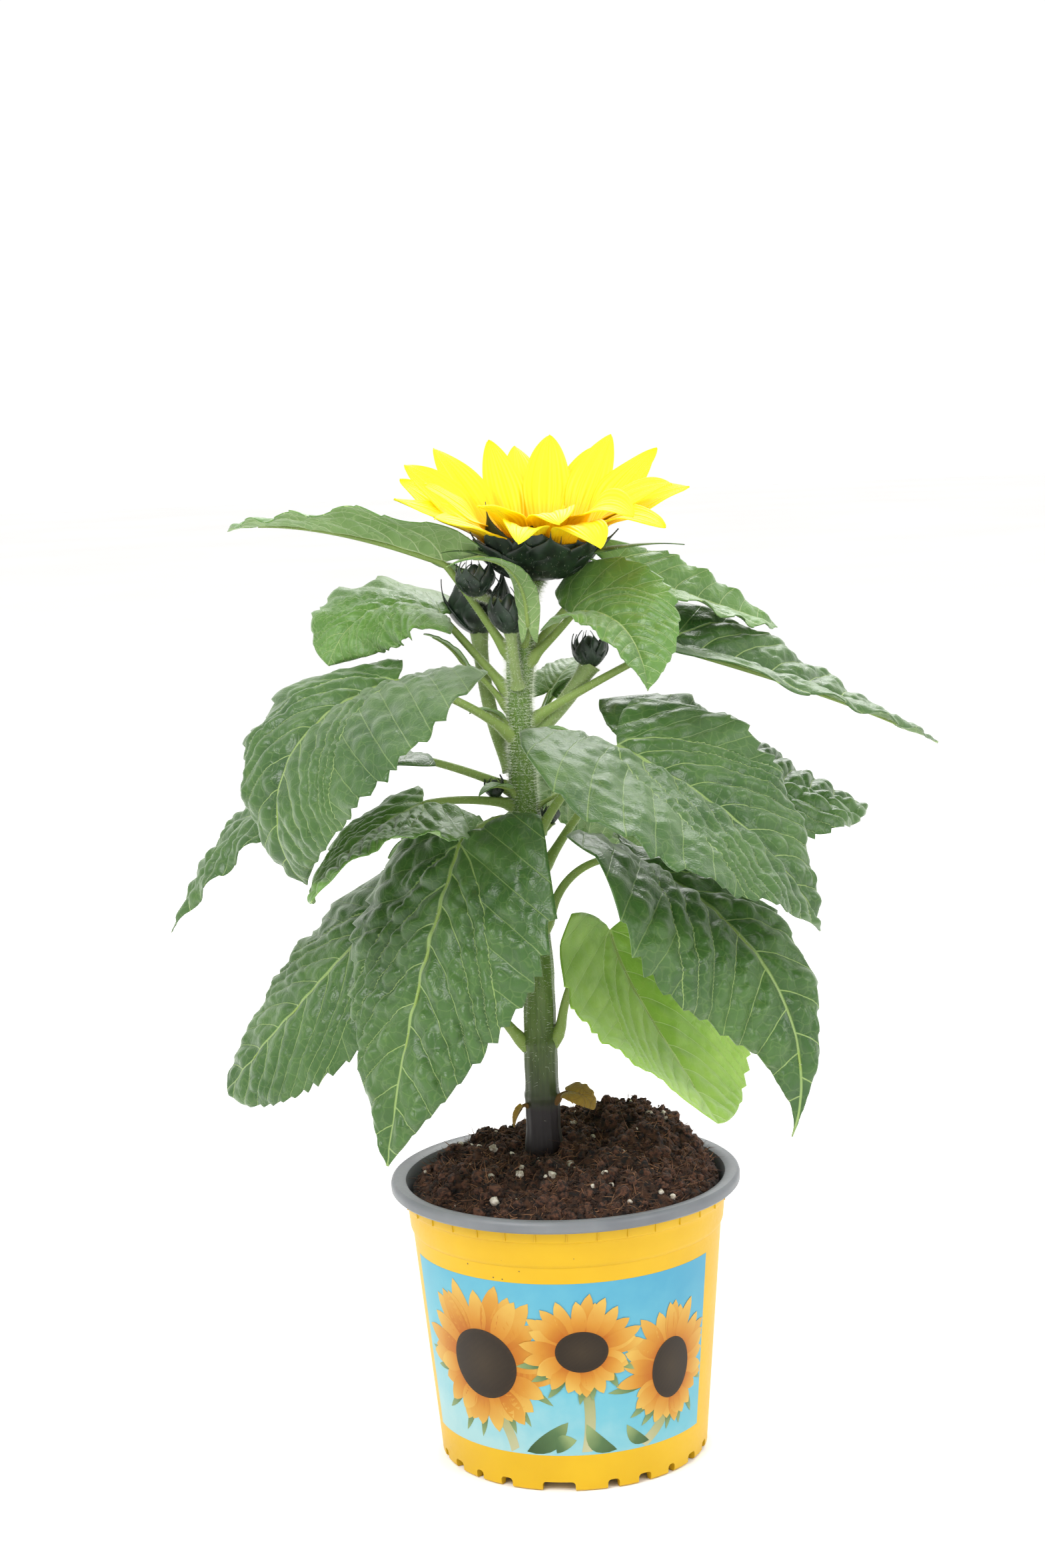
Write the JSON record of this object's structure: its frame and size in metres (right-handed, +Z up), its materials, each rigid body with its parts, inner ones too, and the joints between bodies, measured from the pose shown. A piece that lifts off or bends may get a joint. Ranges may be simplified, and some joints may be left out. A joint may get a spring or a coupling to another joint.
{
  "type": "potted sunflower plant",
  "caption": "Young branching sunflower in a round nursery pot of peat, with an open yellow flower, dark buds and broad drooping toothed leaves.",
  "frame": {"origin": "on the pot's axis, in the flat underside of the pot", "axes": "+Z up along the pot's axis, -Y the side the open flower and the front leaf face, +X to the right of that view"},
  "size_m": [0.2889, 0.2005, 0.3754],
  "materials": {
    "pot_plastic": "thin yellow thermoformed plastic with a satin skin and a grey lip",
    "peat": "dark brown fibrous peat with white perlite",
    "stem": "pale green hairy stem, purple brown at the foot",
    "leaf": "mid green quilted leaf with pale yellow green veins",
    "dead_leaf": "withered yellow brown leaf",
    "bud": "dark green hairy sepals",
    "ray_florets": "bright yellow petal, orange yellow towards the root",
    "disc_florets": "dark brown disc of tight florets"
  },
  "bodies": {
    "root": {"pot": "pot_plastic", "soil": "peat", "stem": "stem", "flower_base": "bud", "flower_disc": "disc_florets", "ray_01": "ray_florets", "ray_02": "ray_florets", "ray_03": "ray_florets", "ray_04": "ray_florets", "ray_05": "ray_florets", "ray_06": "ray_florets", "ray_07": "ray_florets", "ray_08": "ray_florets", "ray_09": "ray_florets", "ray_10": "ray_florets", "ray_11": "ray_florets", "ray_12": "ray_florets", "ray_13": "ray_florets", "ray_14": "ray_florets", "ray_15": "ray_florets", "ray_16": "ray_florets", "ray_17": "ray_florets", "ray_18": "ray_florets", "ray_19": "ray_florets", "ray_20": "ray_florets", "ray_21": "ray_florets", "ray_22": "ray_florets", "bud_left": "bud", "bud_upper_left": "bud", "bud_front": "bud", "bud_right": "bud", "leaf_left_top": "leaf", "leaf_left_upper": "leaf", "leaf_left_front": "leaf", "leaf_left_far": "leaf", "leaf_front": "leaf", "leaf_left_middle": "leaf", "leaf_left_low": "leaf", "leaf_right_front": "leaf", "leaf_right_far": "leaf", "leaf_right_upper": "leaf", "leaf_right_top": "leaf", "leaf_centre_top": "leaf", "leaf_right_low": "leaf", "leaf_right_lowest": "leaf", "leaf_narrow": "leaf", "leaf_back_low": "leaf", "leaf_back_right": "leaf", "leaf_back_centre": "leaf", "leaf_dead": "dead_leaf"}
  },
  "joints": []
}
